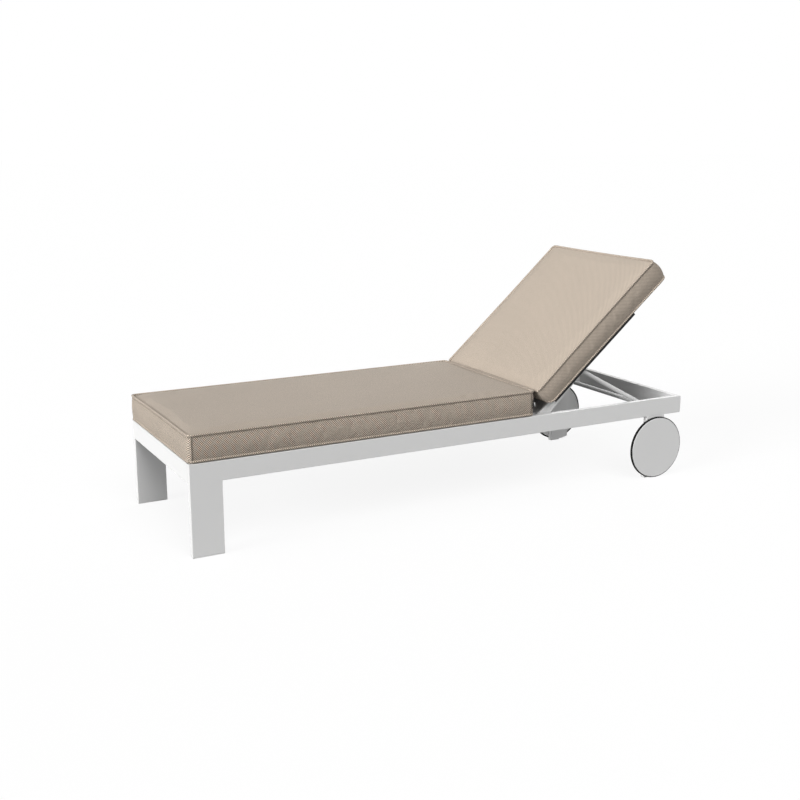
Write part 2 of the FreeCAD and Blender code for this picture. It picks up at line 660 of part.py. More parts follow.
def cushion_shape(length, slant):
    """A loft from end to end, drawn in along its sides and lower towards its ends."""
    half = number("frame_width / 2")
    thick = number("cushion_thickness")
    crown = number("cushion_crown")
    draw = number("cushion_draw")
    edge = number("cushion_edge")
    ease = number("cushion_ease")
    shoulder = number("cushion_shoulder")
    stations = (
        (0, half - edge, thick - edge, crown / 4),
        (edge, half - ease, thick - 2 * ease, crown / 2),
        (shoulder, half, thick, crown),
        (length / 2, half - draw, thick, crown),
        (length - shoulder, half, thick, crown),
        (length - edge, half - ease, thick - 2 * ease, crown / 2),
        (length, half - edge, thick - edge, crown / 4),
    )
    wires = []
    for x, half_width, height, rise in stations:
        foot = slant * max(0.0, 1 - x / number("cushion_slope"))
        wires.append(cushion_section(x, half_width, height, rise, number("cushion_bulge"), foot))
    return Part.makeLoft(wires, True, True)


def cushions():
    seat = doc.addObject("Part::Feature", "seat_cushion_form")
    seat.Shape = cushion_shape(number("frame_length - hinge_setback - fold_gap"), 0)
    place(seat, (f"-{HALF_LENGTH}", "0", "frame_height + cushion_gap"))
    keep(seat, "seat_cushion")
    back = doc.addObject("Part::Feature", "back_cushion_form")
    back.Shape = cushion_shape(number("back_cushion_length"), number("cushion_slant"))
    angle = number("back_angle")
    x, z = along_back(number("back_cushion_start"), number("hinge_drop + cushion_gap"), angle)
    back.Placement = FreeCAD.Placement(V(x, 0, z), FreeCAD.Rotation(V(0, -1, 0), angle))
    keep(back, "back_cushion")


side_rails()
end_rails()
front_legs()
rear_posts()
seat_bearers()
seat_board()
seat_screws()
hinges()
hinge_arms()
side_tubes()
cross_tubes()
back_board()
prop()
racks()
rest_blocks()
wheels()
cushions()
doc.recompute()

# Checks, then one file for each sub-part
for thing in doc.Objects:
    assert not {"Invalid", "Error"} & set(thing.State), (thing.Name, thing.State)
for piece in pieces:
    assert not piece.Shape.isNull() and piece.Shape.isValid(), piece.Label
os.makedirs("parts", exist_ok=True)
for piece in pieces:
    piece.Shape.exportStep(f"parts/{piece.Label}.step")
    print(piece.Label, len(piece.Shape.Solids), round(piece.Shape.Volume))
print(len(pieces), "sub-parts")
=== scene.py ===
# %% [markdown]
# # A sun lounger with a folding mattress
#
# The real thing is a white powder-coated metal bed. Its back is propped up, its head end stands on two wheels, and a
# mattress in two sections lies on it. The metal is already modelled to size in CAD. Blender adds what CAD can't show:
# the coat on the metal, the weave of the cloth, and the way a stuffed mattress swells between its seams.

import json
import math
from dataclasses import dataclass

import bmesh
import bpy
from mathutils import Matrix, Vector
from mathutils.bvhtree import BVHTree


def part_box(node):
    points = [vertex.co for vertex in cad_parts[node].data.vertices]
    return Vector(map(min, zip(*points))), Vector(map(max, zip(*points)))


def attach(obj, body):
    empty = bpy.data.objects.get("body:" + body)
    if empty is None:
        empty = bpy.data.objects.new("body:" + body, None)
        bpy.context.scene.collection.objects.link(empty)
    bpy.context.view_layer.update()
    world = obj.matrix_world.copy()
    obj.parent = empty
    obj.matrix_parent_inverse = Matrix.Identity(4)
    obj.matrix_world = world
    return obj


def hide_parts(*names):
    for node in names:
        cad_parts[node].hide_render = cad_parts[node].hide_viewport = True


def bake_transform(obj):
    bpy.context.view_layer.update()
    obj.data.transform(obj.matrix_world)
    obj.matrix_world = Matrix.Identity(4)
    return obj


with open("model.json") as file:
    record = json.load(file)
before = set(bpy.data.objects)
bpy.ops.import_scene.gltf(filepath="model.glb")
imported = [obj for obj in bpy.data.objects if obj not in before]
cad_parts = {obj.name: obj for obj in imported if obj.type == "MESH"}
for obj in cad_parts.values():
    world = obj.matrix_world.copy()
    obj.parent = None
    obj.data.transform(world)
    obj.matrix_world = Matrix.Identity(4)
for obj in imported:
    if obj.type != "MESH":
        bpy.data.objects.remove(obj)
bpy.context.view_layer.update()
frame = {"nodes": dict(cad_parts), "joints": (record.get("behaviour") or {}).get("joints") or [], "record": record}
nodes = frame["nodes"]
scene = bpy.context.scene

# %% [markdown]
# ## Arithmetic on shader sockets
#
# A finish is a small calculation: where a yarn lies, how high it stands, how dark the gap beside it is. Node trees
# hide that calculation, so a thin wrapper lets the script write it as Python. `Wire` holds one output socket and
# turns each operator into a Math node. `Finish` holds one material, and its `node` method adds every other kind of
# node.


# %% The wrapper for sockets and materials
class Wire:
    """One output socket that can be used in arithmetic."""

    def __init__(self, finish, socket):
        self.finish = finish
        self.socket = socket

    def math(self, operation, *others):
        sockets = {0: self}
        for place, other in enumerate(others, start=1):
            sockets[place] = other
        return self.finish.node("ShaderNodeMath", {"operation": operation}, sockets)

    def flipped(self, operation, other):
        return self.finish.node("ShaderNodeMath", {"operation": operation}, {0: other, 1: self})

    def __add__(self, other):
        return self.math("ADD", other)

    __radd__ = __add__

    def __sub__(self, other):
        return self.math("SUBTRACT", other)

    def __rsub__(self, other):
        return self.flipped("SUBTRACT", other)

    def __mul__(self, other):
        return self.math("MULTIPLY", other)

    __rmul__ = __mul__

    def __truediv__(self, other):
        return self.math("DIVIDE", other)

    def __gt__(self, other):
        return self.math("GREATER_THAN", other)

    def __abs__(self):
        return self.math("ABSOLUTE")


class Finish:
    """The nodes of one material, or of the world."""

    def __init__(self, owner):
        self.owner = owner
        owner.use_nodes = True
        self.tree = owner.node_tree

    def node(self, kind, settings=None, sockets=None, out=0):
        """Add a node: its settings first, then the values or links of its sockets."""
        made = self.tree.nodes.new(kind)
        for name, value in (settings or {}).items():
            setattr(made, name, value)
        for name, value in (sockets or {}).items():
            self.feed(made.inputs[name], value)
        return Wire(self, made.outputs[out])

    def feed(self, socket, value):
        if isinstance(value, Wire):
            self.tree.links.new(value.socket, socket)
        else:
            socket.default_value = value

    def split(self, vector):
        """The three parts of a vector."""
        parts = self.node("ShaderNodeSeparateXYZ", None, {0: vector})
        return [Wire(self, socket) for socket in parts.socket.node.outputs]

    def mix(self, share, first, second):
        """A colour between two others."""
        settings = {"data_type": "RGBA"}
        return self.node("ShaderNodeMix", settings, {"Factor": share, 6: first, 7: second}, 2)

    def scaled(self, colour, amount):
        """A colour times a number."""
        settings = {"data_type": "RGBA", "blend_type": "MULTIPLY"}
        grey = self.node("ShaderNodeCombineColor", None, {0: amount, 1: amount, 2: amount})
        return self.node("ShaderNodeMix", settings, {"Factor": 1.0, 6: colour, 7: grey}, 2)

    def noise(self, where, scale, detail):
        return self.node("ShaderNodeTexNoise", None, {"Vector": where, "Scale": scale, "Detail": detail})

    def bump(self, height, strength, distance):
        sockets = {"Strength": strength, "Distance": distance, "Height": height}
        return self.node("ShaderNodeBump", None, sockets)

    def surface(self, **values):
        """Set or link the Principled shader's sockets, named with underscores."""
        shader = self.tree.nodes["Principled BSDF"]
        for name, value in values.items():
            self.feed(shader.inputs[name.replace("_", " ").title().replace("Ior", "IOR")], value)
        return self.owner


print("Methods of a finish:", ", ".join(name for name in vars(Finish) if not name.startswith("_")))

# %% [markdown]
# ## Powder coat, laminate, steel, nylon and rubber
#
# Powder coat is baked paint. It is matt and even, with a very fine orange peel that only shows where light grazes it.
# A flat white would look like plaster, so two sizes of noise drive the roughness and a shallow bump. The hard parts
# of the lounger differ in colour, gloss and grain, so one function makes them all from those numbers.

# %% Hard finishes
CLOUD_SCALE = 7.0
CLOUD_ROUGHNESS = 0.12
SPECK_ROUGHNESS = 0.08
PEEL_STRENGTH = 0.35


def hard_finish(name, colour, roughness, grain, peel, metallic=0.0, patch=0.04, gloss=0.3):
    """A painted, moulded or bare surface: grain is the bump's noise scale, and peel its depth in metres."""
    finish = Finish(bpy.data.materials.new(name))
    where = finish.node("ShaderNodeTexCoord", out="Object")
    cloud = finish.noise(where, CLOUD_SCALE, 3.0)
    speck = finish.noise(where, grain, 2.0)
    shade = 1.0 - (cloud - 0.5) * patch - (speck - 0.5) * patch
    rough = roughness + (cloud - 0.5) * CLOUD_ROUGHNESS + (speck - 0.5) * SPECK_ROUGHNESS
    return finish.surface(
        base_color=finish.scaled((*colour, 1.0), shade),
        roughness=rough,
        metallic=metallic,
        specular_ior_level=gloss,
        normal=finish.bump(speck, PEEL_STRENGTH, peel),
    )


FINISHES = {
    "white_coat": hard_finish("white_powder_coat", (0.80, 0.80, 0.795), 0.44, 1500.0, 0.00008, patch=0.02),
    # Painted shade: near black on the back's side tubes and on the boards stands in for the shadow under the cushion
    "dark_coat": hard_finish("dark_coat_painted_shade", (0.028, 0.028, 0.030), 0.5, 1500.0, 0.0001, gloss=0.2),
    "board": hard_finish("black_laminate_painted_shade", (0.022, 0.022, 0.023), 0.42, 700.0, 0.00006, patch=0.3,
                         gloss=0.2),
    "steel": hard_finish("stainless_steel", (0.60, 0.60, 0.59), 0.32, 900.0, 0.00003, metallic=1.0),
    "white_plastic": hard_finish("white_nylon", (0.76, 0.76, 0.75), 0.5, 600.0, 0.00006),
    "dark_plastic": hard_finish("black_nylon", (0.02, 0.02, 0.02), 0.55, 600.0, 0.00008, gloss=0.15),
    "wheel_white": hard_finish("white_wheel_disc", (0.79, 0.79, 0.785), 0.36, 1200.0, 0.00005, patch=0.02),
    "tyre": hard_finish("black_rubber", (0.012, 0.012, 0.012), 0.7, 500.0, 0.0002, patch=0.4, gloss=0.08),
}
for part in frame["record"]["subparts"]:
    finish = FINISHES.get(part["material_slot"])
    if finish:
        mesh = nodes[part["node"]].data
        mesh.materials.clear()
        mesh.materials.append(finish)
print("Hard finishes:", ", ".join(sorted(FINISHES)))

# %% [markdown]
# ## Woven cloth
#
# The cover is a coarse outdoor cloth: a pale yarn and a dark one cross over and under each other, so that from a step
# away it reads as a taupe with a fine diagonal grain. An image could show this, but it would blur close up. Here the
# weave is worked out: the surface is cut into square cells, the pale yarn lies on top in every other cell, and each
# yarn is a rounded ridge. The same height feeds the bump, and paints shade into the gaps between the yarns. The walls
# show their two yarns plainly. On the panels and on the back, which are rubbed smooth, the yarns are closer in tone.
# Beside a seam, where the cloth folds in, shade is painted into its colour, and the meshes carry that as an
# attribute.

# %% The weave
YARN = 0.0037
PALE_YARN = (0.850, 0.724, 0.596, 1.0)
DARK_YARN = (0.128, 0.106, 0.086, 1.0)
PANEL_CONTRAST = 0.30
FACING_UP = 0.7
SLOW_DRIFT_SCALE = 9.0
SLOW_DRIFT = 0.003
FINE_DRIFT_SCALE = 70.0
FINE_DRIFT = 0.0012
DIVE = 0.55
MEAN_HEIGHT = 0.532
MEAN_SHADE = 0.886
# Painted shade: the gaps between the yarns are darker, more on the walls than on the panels
GAP_SHADE = 0.5
PANEL_GAP_SHADE = 0.2
FIBRE_SCALE = 1600.0
FIBRE_SHADE = 0.2
WORN_SCALE = 5.0
WORN_SHADE = 0.1
FIBRE_HEIGHT = 0.3
PANEL_FLATNESS = 0.5
YARN_STRENGTH = 0.7
YARN_DEPTH = 0.0007


def woven_cloth(name, yarn, colours, contrast, seam_shade):
    """Two yarns crossing over and under: contrast is how far apart they are in tone on a wall."""
    finish = Finish(bpy.data.materials.new(name))
    where = finish.node("ShaderNodeTexCoord", out="Object")
    facing = finish.node("ShaderNodeTexCoord", out="Normal")
    x, y, z = finish.split(where)
    facing_x, facing_y, facing_z = [abs(part) for part in finish.split(facing)]
    flat = facing_z > FACING_UP
    end = facing_x > facing_y
    across = flat * x + (1.0 - flat) * (end * y + (1.0 - end) * x)
    along = flat * y + (1.0 - flat) * z
    slow = finish.noise(where, SLOW_DRIFT_SCALE, 1.0) * SLOW_DRIFT
    drift = slow + finish.noise(where, FINE_DRIFT_SCALE, 1.0) * FINE_DRIFT
    warp = (across + drift) / yarn
    weft = (along - drift) / yarn
    cells = warp.math("FLOOR") + weft.math("FLOOR")
    over = (cells / 2.0).math("FRACT") * 2.0 > 0.5
    round_warp = (warp.math("FRACT") * math.pi).math("SINE")
    round_weft = (weft.math("FRACT") * math.pi).math("SINE")
    pale_height = round_warp * (DIVE + (1.0 - DIVE) * round_weft)
    dark_height = round_weft * (DIVE + (1.0 - DIVE) * round_warp)
    height = over * pale_height + (1.0 - over) * dark_height
    fibre = finish.noise(where, FIBRE_SCALE, 2.0)
    worn = finish.noise(where, WORN_SCALE, 3.0)
    seam = finish.node("ShaderNodeAttribute", {"attribute_name": "seam"}, out="Fac")
    apart = contrast - (contrast - PANEL_CONTRAST) * flat
    yarns = finish.mix(0.5 + (over - 0.5) * apart, *colours)
    # Painted shade in the gaps between the yarns, with the fibre's and the cloth's own random tone
    gap_shade = GAP_SHADE - (GAP_SHADE - PANEL_GAP_SHADE) * flat
    shade = MEAN_SHADE + gap_shade * (height - MEAN_HEIGHT)
    shade = shade + (fibre - 0.5) * FIBRE_SHADE + (worn - 0.5) * WORN_SHADE
    # Painted shade where the cloth folds in beside a seam
    shade = shade * (1.0 - seam_shade * seam)
    relief = (height + fibre * FIBRE_HEIGHT) * (1.0 - PANEL_FLATNESS * flat)
    return finish.surface(
        base_color=finish.scaled(yarns, shade),
        roughness=0.86 + (fibre - 0.5) * 0.12,
        sheen_weight=0.12,
        sheen_roughness=0.5,
        specular_ior_level=0.25,
        normal=finish.bump(relief, YARN_STRENGTH, YARN_DEPTH),
    )


TAUPE = (DARK_YARN, PALE_YARN)
# The last number is the depth of the painted seam shade
CLOTH = woven_cloth("taupe_weave", YARN, TAUPE, 0.92, 0.6)
RUBBED_CLOTH = woven_cloth("taupe_weave_rubbed", YARN, TAUPE, 0.34, 0.85)
PIPING = woven_cloth("taupe_piping", YARN, TAUPE, 0.9, 0.0)
print("Yarn width", YARN * 1000, "mm, so the weave repeats every", YARN * 2000, "mm")

# %% [markdown]
# ## Soft edges on the metal
#
# The rails and legs are bare boxes in CAD. Real tube has a small radius along its long edges, which catches a thin
# line of light. A Bevel modifier would also cut a groove round every welded joint. So the script copies each visible
# tube, welds its vertices, and bevels only the edges that run lengthwise and lie in no joint.

# %% Bevel the long edges of the tubes
LEG_JOINT_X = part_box("front_leg_left")[1].x
TUBES = ("side_rail_left", "side_rail_right", "foot_rail", "rear_rail", "front_leg_left", "front_leg_right",
         "rear_post_left", "rear_post_right")
TUBE_RADIUS = 0.0012
SHORTEST_EDGE = 0.07
SHARP = math.radians(40)
FLAT = math.radians(1)
WELD = 0.00001
JOINT_GAP = 0.0005


def long_edges(form):
    """Sharp edges that run lengthwise and don't lie in the joint between leg and rail."""
    found = []
    for edge in form.edges:
        if len(edge.link_faces) != 2 or edge.calc_length() < SHORTEST_EDGE:
            continue
        in_joint = all(abs(vert.co.x - LEG_JOINT_X) < JOINT_GAP for vert in edge.verts)
        if not in_joint and edge.calc_face_angle() > SHARP:
            found.append(edge)
    return found


def softened_tube(name):
    """A copy of a tube with soft long edges, in place of its node."""
    form = bmesh.new()
    form.from_mesh(nodes[name].data)
    bmesh.ops.remove_doubles(form, verts=form.verts, dist=WELD)
    bmesh.ops.dissolve_limit(form, angle_limit=FLAT, verts=form.verts, edges=form.edges)
    edges = long_edges(form)
    bmesh.ops.bevel(form, geom=edges, offset=TUBE_RADIUS, segments=3, profile=0.5, affect="EDGES")
    mesh = bpy.data.meshes.new(name + "_soft")
    form.to_mesh(mesh)
    form.free()
    tube = bpy.data.objects.new(name + "_soft", mesh)
    scene.collection.objects.link(tube)
    mesh.materials.append(FINISHES["white_coat"])
    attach(tube, "frame")
    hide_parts(name)
    return len(edges)


for tube_name in TUBES:
    print(tube_name, "bevelled edges:", softened_tube(tube_name))

# %% [markdown]
# ## The mattress, before it is filled
#
# Each section is a sewn cover: a top and a bottom panel, a wall all round, and piping in both seams. The cover's
# shape is set by its seams, and the stuffing pushes the panels out between them. So the mesh starts as a grid that
# follows the seams, with every line of it named by its place: rows near a seam are close together, because the cloth
# turns there.

# %% Rows and corners of a panel
GRID_STEP = 0.009
SEAM_ROWS = (0.0, 0.003, 0.007, 0.012, 0.018)
CORNER = 0.013


def spread(length):
    """Places along a panel: close together beside its seams, then even."""
    inner = length - 2 * SEAM_ROWS[-1]
    count = round(inner / GRID_STEP)
    middle = [SEAM_ROWS[-1] + inner * index / count for index in range(1, count)]
    return [*SEAM_ROWS, *middle, *[length - place for place in reversed(SEAM_ROWS)]]


def rounded_corner(x, y, length, width):
    """Move a point of a rectangle so that the rectangle's corners are round."""
    reach_x = max(CORNER - x, x - (length - CORNER), 0.0) / CORNER
    reach_y = max(abs(y) - (width / 2 - CORNER), 0.0) / CORNER
    if not reach_x or not reach_y:
        return x, y
    bent_x = reach_x * math.sqrt(1 - reach_y * reach_y / 2) * CORNER
    bent_y = reach_y * math.sqrt(1 - reach_x * reach_x / 2) * CORNER
    x = CORNER - bent_x if x < CORNER else length - CORNER + bent_x
    return x, math.copysign(width / 2 - CORNER + bent_y, y)


print("Rows over a 640 mm panel:", len(spread(0.64)))

# %% The shape of a sewn cover
END_REACH = 0.15
LOWER_LIFT = 0.004
LIFT_REACH = 0.008
TUCK_LENGTH = 0.03
SEAM_DIP = 0.002
DIP_REACH = 0.006
CORNER_REACH = 0.05
SIDE_LOSS = 0.45
END_LOSS = 0.35


@dataclass
class Section:
    """The sewn cover of one mattress section, in its own frame: X along it, Z away from the frame."""

    length: float
    width: float
    # Height of the upper seam at the lower and the higher end
    low_seam: float
    high_seam: float
    # How far the lower and the higher end lean
    slant: float
    flare: float
    # Rise of the top panel, and how far its seams are drawn in between the corners
    crown: float
    draw: float
    side_bulge: float
    end_bulges: tuple
    # How far the bottom panel curves up at each end
    tucks: tuple
    # Depth of the painted shade along the upright seams beside the corners
    corner_seam_shade: float

    def height(self, x):
        return self.low_seam + (self.high_seam - self.low_seam) * x / self.length

    def plan(self, x, y):
        """A point of the seam line's plane: round corners, and edges drawn in between them."""
        x, y = rounded_corner(x, y, self.length, self.width)
        waist = 1 - (2 * x / self.length - 1) ** 2
        dip = self.draw * (1 - (2 * y / self.width) ** 2)
        inward = dip * max(0.0, 1 - x / END_REACH) - dip * max(0.0, 1 - (self.length - x) / END_REACH)
        return x + inward, y * (1 - 2 * self.draw * waist / self.width)

    def lean(self, x, share):
        """Slide a point along the section where its ends aren't square to its length."""
        near_low = max(0.0, 1 - x / END_REACH)
        near_high = max(0.0, 1 - (self.length - x) / END_REACH)
        return x + (1 - share) * (self.slant * near_low + self.flare * near_high)

    def lower_edge(self, x):
        """How far the bottom panel curves up towards each end."""
        low, high = [max(0.0, 1 - gap / TUCK_LENGTH) ** 2 for gap in (x, self.length - x)]
        return self.tucks[0] * low + self.tucks[1] * high

    def point(self, x, y, share, panel):
        """A point of the cover: share is how far up the wall, panel is 1 on the top and 0 elsewhere."""
        edge = min(x, self.length - x, self.width / 2 - abs(y))
        flat_x, flat_y = self.plan(x, y)
        base = self.lower_edge(x) + LOWER_LIFT * (1.0 if share else math.exp(-((edge / LIFT_REACH) ** 2)))
        z = base + (self.height(x) - base) * share
        fullness = 4 * share * (1 - share)
        if y in (-self.width / 2, self.width / 2):
            reach = 1 - SIDE_LOSS * math.exp(-min(x, self.length - x) / CORNER_REACH)
            flat_y += math.copysign(self.side_bulge * fullness * reach, y)
        if x in (0.0, self.length):
            reach = 1 - END_LOSS * math.exp((abs(y) - self.width / 2) / CORNER_REACH)
            flat_x += math.copysign(self.end_bulges[x > 0] * fullness * reach, x - self.length / 2)
        if panel:
            swell = (1 - abs(2 * x / self.length - 1) ** 8) * (1 - abs(2 * y / self.width) ** 4)
            z += self.crown * swell - SEAM_DIP * math.exp(-((edge / DIP_REACH) ** 2))
        return Vector((self.lean(flat_x, share), flat_y, z))


print("A section is set by", len(Section.__dataclass_fields__), "values")

# %% The mesh of a sewn cover
WALL_LEVELS = (0.0, 0.035, 0.085, 0.16, 0.27, 0.39, 0.5, 0.61, 0.73, 0.84, 0.915, 0.965, 1.0)
# Depth, width and place of the shade painted along the seams and the upright lines beside the corners
SEAM_FOLD_SHADE = 0.58
SEAM_HALF = 0.0035
CORNER_SEAM = 0.012
CORNER_SEAM_HALF = 0.003


def cover_mesh(name, section):
    """The cover's mesh with its painted seam shade, and the vertices round the bottom seam and round the top one."""
    xs = spread(section.length)
    ys = [place - section.width / 2 for place in spread(section.width)]
    last = (len(xs) - 1, len(ys) - 1, len(WALL_LEVELS) - 1)
    index = {}
    points = []
    seams = []

    def vertex(i, j, k):
        key = (i, j, k)
        if key not in index:
            x, y, share = xs[i], ys[j], WALL_LEVELS[k]
            rim = i in (0, last[0]) or j in (0, last[1])
            panel = k == last[2] and not rim
            index[key] = len(points)
            points.append(section.point(x, y, share, panel))
            wall = min(share, 1 - share) * section.height(x)
            from_end = min(x, section.length - x)
            edge = min(from_end, section.width / 2 - abs(y))
            # Painted shade along the seams, and along upright lines beside the corners
            seam = SEAM_FOLD_SHADE * math.exp(-(((wall if rim else edge) / SEAM_HALF) ** 2))
            if j in (0, last[1]):
                upright = math.exp(-(((from_end - CORNER_SEAM) / CORNER_SEAM_HALF) ** 2))
                seam = max(seam, section.corner_seam_shade * upright)
            seams.append(seam)
        return index[key]

    faces = []
    for i in range(last[0]):
        for j in range(last[1]):
            for k in (0, last[2]):
                ring = [vertex(i, j, k), vertex(i + 1, j, k), vertex(i + 1, j + 1, k), vertex(i, j + 1, k)]
                faces.append(ring if k else ring[::-1])
    for k in range(last[2]):
        for i in range(last[0]):
            for j in (0, last[1]):
                ring = [vertex(i, j, k), vertex(i + 1, j, k), vertex(i + 1, j, k + 1), vertex(i, j, k + 1)]
                faces.append(ring[::-1] if j else ring)
        for j in range(last[1]):
            for i in (0, last[0]):
                ring = [vertex(i, j, k), vertex(i, j + 1, k), vertex(i, j + 1, k + 1), vertex(i, j, k + 1)]
                faces.append(ring if i else ring[::-1])
    mesh = bpy.data.meshes.new(name)
    mesh.from_pydata(points, [], faces)
    mesh.attributes.new("seam", "FLOAT", "POINT").data.foreach_set("value", seams)
    loops = []
    for k in (0, last[2]):
        loop = [index[i, 0, k] for i in range(last[0])] + [index[last[0], j, k] for j in range(last[1])]
        loop += [index[i, last[1], k] for i in range(last[0], 0, -1)]
        loop += [index[0, j, k] for j in range(last[1], 0, -1)]
        loops.append(loop)
    return mesh, loops


print("Rows up a wall:", len(WALL_LEVELS))

# %% [markdown]
# ## Filling the mattress
#
# Displacing the panels by a formula gives an even dome. Stuffing behaves differently: it swells most where the cloth
# is free, and the cloth puckers where a seam holds it. Blender's Cloth with inside pressure shows that. The seams are
# pinned, gravity is off, and the cloth is given a little spare length. The bottom panel is pressed flat again
# afterwards, because it lies on boards, and no point may move further than a cap.

# %% Fill a section with pressure
SPARE_CLOTH = -0.003
CAP = 0.008
FRAMES = 20


def fill(section_object, loops):
    """Swell the panels between the pinned seams, then put the result into the mesh."""
    mesh = section_object.data
    rest = [vert.co.copy() for vert in mesh.vertices]
    pins = section_object.vertex_groups.new(name="pins")
    pins.add([vert for loop in loops for vert in loop], 1.0, "REPLACE")
    cloth = section_object.modifiers.new("stuffing", "CLOTH")
    settings = cloth.settings
    settings.quality = 6
    settings.mass = 0.3
    settings.tension_stiffness = 18
    settings.compression_stiffness = 18
    settings.shear_stiffness = 6
    settings.bending_stiffness = 4.0
    settings.use_pressure = True
    settings.uniform_pressure_force = 4.0
    settings.shrink_min = SPARE_CLOTH
    settings.vertex_group_mass = "pins"
    settings.effector_weights.gravity = 0.0
    cloth.collision_settings.use_collision = False
    for number in range(1, FRAMES + 1):
        scene.frame_set(number)
    swollen = section_object.evaluated_get(bpy.context.evaluated_depsgraph_get()).to_mesh()
    moved = [vert.co.copy() for vert in swollen.vertices]
    section_object.modifiers.remove(cloth)
    furthest = 0.0
    for vert, start, end in zip(mesh.vertices, rest, moved):
        shift = end - start
        if shift.length > CAP:
            shift *= CAP / shift.length
        furthest = max(furthest, shift.length)
        vert.co = start + shift
        vert.co.z = max(vert.co.z, 0.0)
    scene.frame_set(1)
    section_object.vertex_groups.clear()
    return furthest


def sewn_section(name, section, place, cloth):
    """A filled section with one level of subdivision, at its place on the lounger."""
    mesh, loops = cover_mesh(name, section)
    made = bpy.data.objects.new(name, mesh)
    scene.collection.objects.link(made)
    print(name, "moved up to", round(fill(made, loops) * 1000, 1), "mm")
    mesh.shade_smooth()
    mesh.materials.append(cloth)
    made.modifiers.new("smooth", "SUBSURF").render_levels = 1
    made.matrix_world = place
    return made, loops


print("No point of the cloth moves further than", CAP * 1000, "mm")

# %% [markdown]
# ## The two sections in place
#
# The seat section lies level on the boards. The back section lies on the raised back, so its own frame is turned by
# the angle of the back. Its lower end is cut at a slant, so that the fold can close.

# %% Make both sections
BACK_ANGLE = math.radians(40.3)
JOINTS = {joint["name"]: joint for joint in frame["joints"]}
HINGE = Vector(JOINTS["back_hinge"]["pos_m"])
FOOT_END = -1.0
BED_TOP = 0.3125
BACK_START = 0.045
BACK_TOP = 0.0255
SEAT_PLACE = Matrix.Translation((FOOT_END, 0.0, BED_TOP))
BACK_TURN = Matrix.Rotation(BACK_ANGLE, 4, (0, -1, 0))
BACK_PLACE = Matrix.Translation(HINGE) @ BACK_TURN @ Matrix.Translation((BACK_START, 0.0, BACK_TOP))

seat_form = Section(length=1.303, width=0.634, low_seam=0.0908, high_seam=0.0908, slant=0.0, flare=0.0,
                    crown=0.004, draw=0.002, side_bulge=0.006, end_bulges=(0.005, 0.005), tucks=(0.0, 0.0),
                    corner_seam_shade=1.0)
back_form = Section(length=0.682, width=0.634, low_seam=0.084, high_seam=0.094, slant=0.012, flare=0.006,
                    crown=0.004, draw=0.003, side_bulge=0.006, end_bulges=(0.009, 0.015), tucks=(0.010, 0.004),
                    corner_seam_shade=0.1)
seat_pad, seat_loops = sewn_section("seat_section", seat_form, SEAT_PLACE, CLOTH)
back_pad, back_loops = sewn_section("back_section", back_form, BACK_PLACE, RUBBED_CLOTH)
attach(seat_pad, "frame")
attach(back_pad, "back_mattress")
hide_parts("seat_cushion")
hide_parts("back_cushion")
print("Seat section faces:", len(seat_pad.data.polygons), "back section faces:", len(back_pad.data.polygons))

# %% [markdown]
# ## Piping
#
# Piping is a cord sewn into the seam in a strip of the same cloth. It stands a little proud of both panels, and the
# dark line of the seam, which is shade painted into the cover's colour, runs beside it. A tube round the seam line
# gives the piping. Its rings are placed on the mesh's own seam vertices, so it can't come away from the cover.

# %% Sew piping into the seams
PIPING_RADIUS = 0.0042
PIPING_SIDES = 10
PIPING_STEP = 0.006
PIPING_LIFTS = {"lower": 0.0025, "upper": 0.0005}


def piping_mesh(name, path):
    """A closed tube round a ring of points."""
    count = len(path)
    points = []
    for index, spot in enumerate(path):
        ahead = (path[(index + 1) % count] - path[index - 1]).normalized()
        out = ahead.cross(Vector((0, 0, 1))).normalized()
        up = out.cross(ahead)
        for side in range(PIPING_SIDES):
            turn = 2 * math.pi * side / PIPING_SIDES
            points.append(spot + PIPING_RADIUS * (math.cos(turn) * out + math.sin(turn) * up))
    faces = []
    for index in range(count):
        here, after = index * PIPING_SIDES, (index + 1) % count * PIPING_SIDES
        for side in range(PIPING_SIDES):
            beside = (side + 1) % PIPING_SIDES
            faces.append((here + side, after + side, after + beside, here + beside))
    mesh = bpy.data.meshes.new(name)
    mesh.from_pydata(points, [], faces)
    mesh.shade_smooth()
    mesh.materials.append(PIPING)
    return mesh


def seam_path(pad, loop, lift):
    """The seam's vertices without those closer together than the piping is thick."""
    path = []
    for index in loop:
        spot = pad.data.vertices[index].co + Vector((0, 0, lift))
        if not path or (spot - path[-1]).length > PIPING_STEP:
            path.append(spot)
    if (path[0] - path[-1]).length < PIPING_STEP:
        path.pop()
    return path


SECTIONS = ((seat_pad, seat_form, seat_loops, "frame"), (back_pad, back_form, back_loops, "back_mattress"))
for pad, _, loops, body in SECTIONS:
    for loop, (edge, lift) in zip(loops, PIPING_LIFTS.items()):
        name = f"{pad.name}_{edge}_piping"
        piping = bpy.data.objects.new(name, piping_mesh(name, seam_path(pad, loop, lift)))
        scene.collection.objects.link(piping)
        piping.matrix_world = pad.matrix_world
        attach(piping, body)
        print(name, "rings:", len(piping.data.vertices) // PIPING_SIDES)

# %% [markdown]
# ## Stitches
#
# A dark thread runs along under the upper piping, and on the seat section it closes the wall's corners too. The
# back's wall goes round its corners in one piece. Seen from across the terrace the thread is a thin broken line, and
# close up each stitch is a short loop of thread pulled into the cloth. Each one is a small spindle laid on the
# nearest point of the cover, so the rows follow every swelling of the cloth.

# %% One stitch
STITCH = 0.0052
STITCH_PITCH = 0.0082
THREAD = 0.0007
THREAD_SIDES = 6
# Along the stitch, its thickness, and its height over the cloth, as shares
STITCH_RINGS = ((-0.5, 0.35, -0.9), (-0.25, 0.9, 0.1), (0.25, 0.9, 0.1), (0.5, 0.35, -0.9))
THREAD_FINISH = hard_finish("dark_thread", (0.085, 0.070, 0.056), 0.8, 900.0, 0.0002, patch=0.5)


